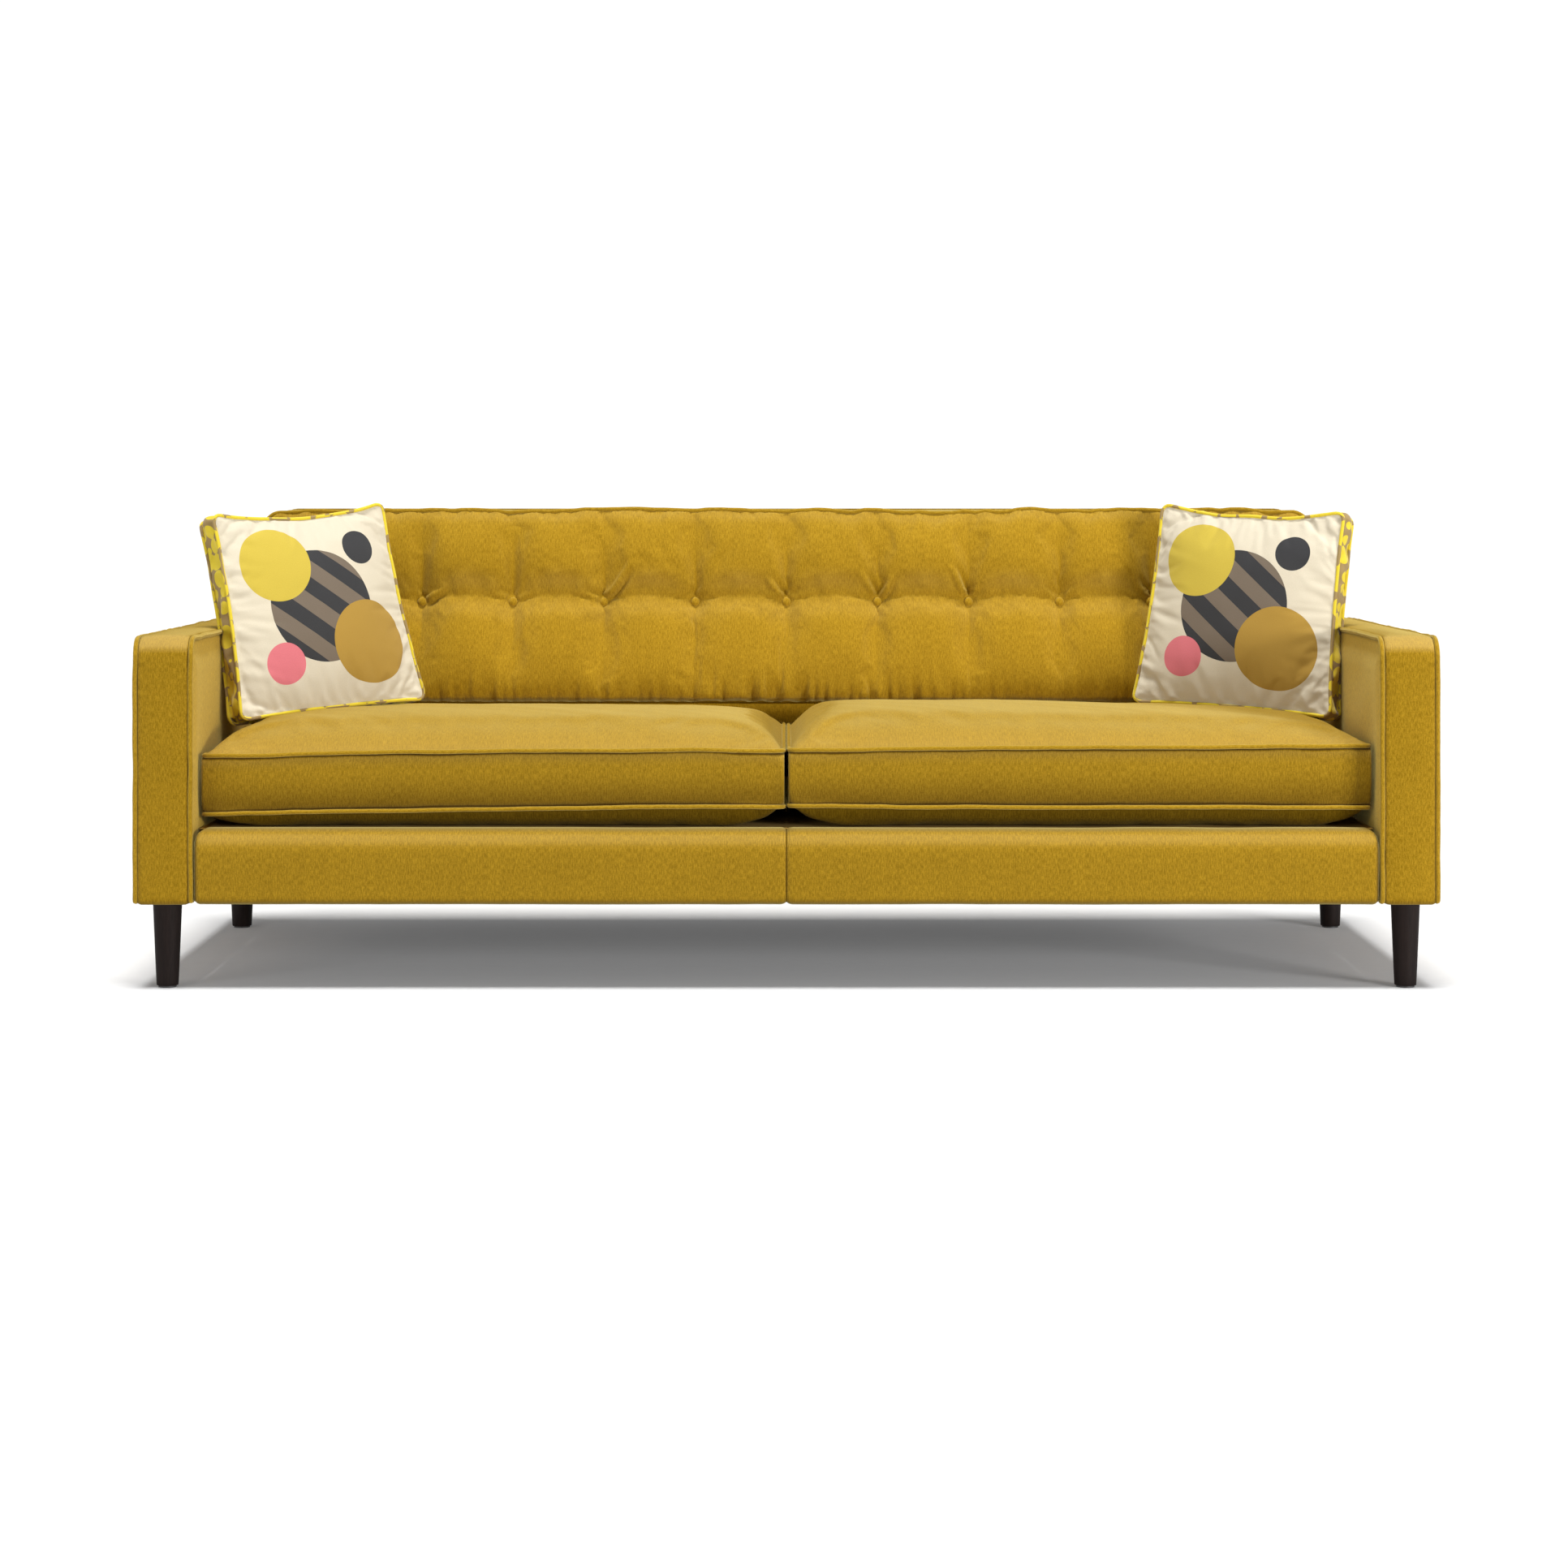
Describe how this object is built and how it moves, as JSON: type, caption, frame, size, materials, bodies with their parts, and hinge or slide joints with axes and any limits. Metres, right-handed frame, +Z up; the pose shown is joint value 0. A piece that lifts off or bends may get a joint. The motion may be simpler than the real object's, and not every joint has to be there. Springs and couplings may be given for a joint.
{
  "type": "sofa",
  "caption": "Long upholstered sofa with slim track arms, loose box seat cushions, a buttoned back pad, patterned scatter cushions and tapered wooden legs.",
  "frame": {"origin": "on the floor, under the middle of the sofa's bounding box", "axes": "+X to the right as seen from the front, along the sofa; the front faces -Y; +Z up"},
  "size_m": [2.3, 0.93, 0.8539],
  "materials": {
    "velvet": "ochre short-pile velvet",
    "velvet_piping": "piping of the same velvet",
    "scatter_print": "printed woven cotton, cream ground",
    "scatter_trim": "yellow piping and patterned gusset",
    "leg_wood": "dark stained, satin lacquer",
    "timber": "sawn hardwood",
    "plywood": "plywood",
    "steel": "zinc plated",
    "spring_steel": "oiled spring wire",
    "glide_plastic": "moulded",
    "foam": "upholstery foam and fibre",
    "dust_cloth": "black non-woven cloth",
    "webbing": "elastic webbing",
    "twine": "waxed tufting twine",
    "zip_plastic": "coil zip and tape",
    "zip_metal": "die-cast slider"
  },
  "bodies": {
    "frame": {"arm_band_left": "velvet", "arm_band_right": "velvet", "arm_boards_left": "plywood", "arm_boards_right": "plywood", "arm_cover_inner_left": "velvet", "arm_cover_inner_right": "velvet", "arm_cover_outer_left": "velvet", "arm_cover_outer_right": "velvet", "arm_frame_left": "timber", "arm_frame_right": "timber", "arm_pad_left": "foam", "arm_pad_right": "foam", "arm_piping_left": "velvet_piping", "arm_piping_right": "velvet_piping", "back_boxing": "velvet", "back_buttons": "velvet", "back_frame": "timber", "back_lower_panel": "velvet", "back_outer_panel": "velvet", "back_pad": "velvet", "back_piping": "velvet_piping", "back_rail": "timber", "back_webbing": "webbing", "corner_blocks": "timber", "cross_rails": "timber", "deck_cloth": "velvet", "deck_pad": "foam", "dust_cover": "dust_cloth", "front_border_left": "velvet", "front_border_right": "velvet", "front_rail": "timber", "leg_bolts": "steel", "leg_front_left": "leg_wood", "leg_front_right": "leg_wood", "leg_glides": "glide_plastic", "leg_plates": "steel", "leg_rear_left": "leg_wood", "leg_rear_right": "leg_wood", "plate_screws": "steel", "seat_springs": "spring_steel", "side_rails": "timber", "spring_clips": "steel", "tufting_twine": "twine", "tufting_washers": "steel"},
    "seat_cushion_left": {"seat_cover_left": "velvet", "seat_foam_left": "foam", "seat_piping_left": "velvet_piping", "seat_zip_left": "zip_plastic"},
    "zip_slider_left": {"zip_slider_left": "zip_metal"},
    "scatter_cushion_left": {"scatter_cover_left": "scatter_print", "scatter_filling_left": "foam", "scatter_piping_left": "scatter_trim"},
    "seat_cushion_right": {"seat_cover_right": "velvet", "seat_foam_right": "foam", "seat_piping_right": "velvet_piping", "seat_zip_right": "zip_plastic"},
    "zip_slider_right": {"zip_slider_right": "zip_metal"},
    "scatter_cushion_right": {"scatter_cover_right": "scatter_print", "scatter_filling_right": "foam", "scatter_piping_right": "scatter_trim"}
  },
  "joints": [
    {"name": "seat_lift_left", "type": "slide", "parent": "frame", "child": "seat_cushion_left", "axis": [0, -0.6, 0.8], "range_m": [0, 0.45]},
    {"name": "scatter_lift_left", "type": "slide", "parent": "seat_cushion_left", "child": "scatter_cushion_left", "axis": [0, -0.6, 0.8], "range_m": [0, 0.35]},
    {"name": "zip_pull_left", "type": "slide", "parent": "seat_cushion_left", "child": "zip_slider_left", "axis": [1, 0, 0], "range_m": [0, 0.68]},
    {"name": "seat_lift_right", "type": "slide", "parent": "frame", "child": "seat_cushion_right", "axis": [0, -0.6, 0.8], "range_m": [0, 0.45]},
    {"name": "scatter_lift_right", "type": "slide", "parent": "seat_cushion_right", "child": "scatter_cushion_right", "axis": [0, -0.6, 0.8], "range_m": [0, 0.35]},
    {"name": "zip_pull_right", "type": "slide", "parent": "seat_cushion_right", "child": "zip_slider_right", "axis": [1, 0, 0], "range_m": [0, 0.68]}
  ]
}
